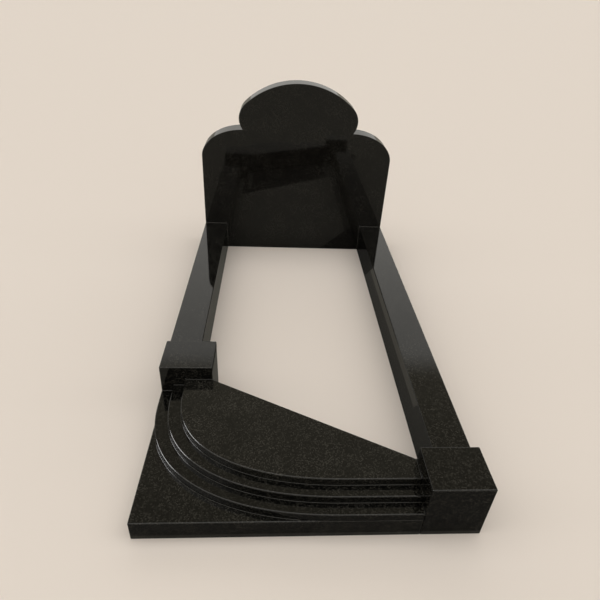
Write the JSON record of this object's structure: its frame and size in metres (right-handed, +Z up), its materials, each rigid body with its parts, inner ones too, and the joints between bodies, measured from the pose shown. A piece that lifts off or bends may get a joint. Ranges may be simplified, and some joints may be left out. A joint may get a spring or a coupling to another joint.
{
  "type": "kerbed memorial",
  "caption": "Kerbed grave set in black polished granite: lobed headstone, a long and a short kerb with corner posts, and a stepped front with a rounded corner and a slanting back.",
  "frame": {"origin": "on the ground, in the middle of the set's width and length", "axes": "+Z up, +Y along the length towards the headstone, +X to the right when facing the headstone from the front"},
  "size_m": [1.22, 2.1606, 1.125],
  "materials": {
    "granite": "polished black granite with fine grey crystals and eased edges"
  },
  "bodies": {
    "root": {"headstone": "granite", "kerb_left": "granite", "kerb_right": "granite", "post_left": "granite", "post_right": "granite", "base_slab": "granite", "step_lower": "granite", "step_upper": "granite", "top_slab": "granite"}
  },
  "joints": []
}
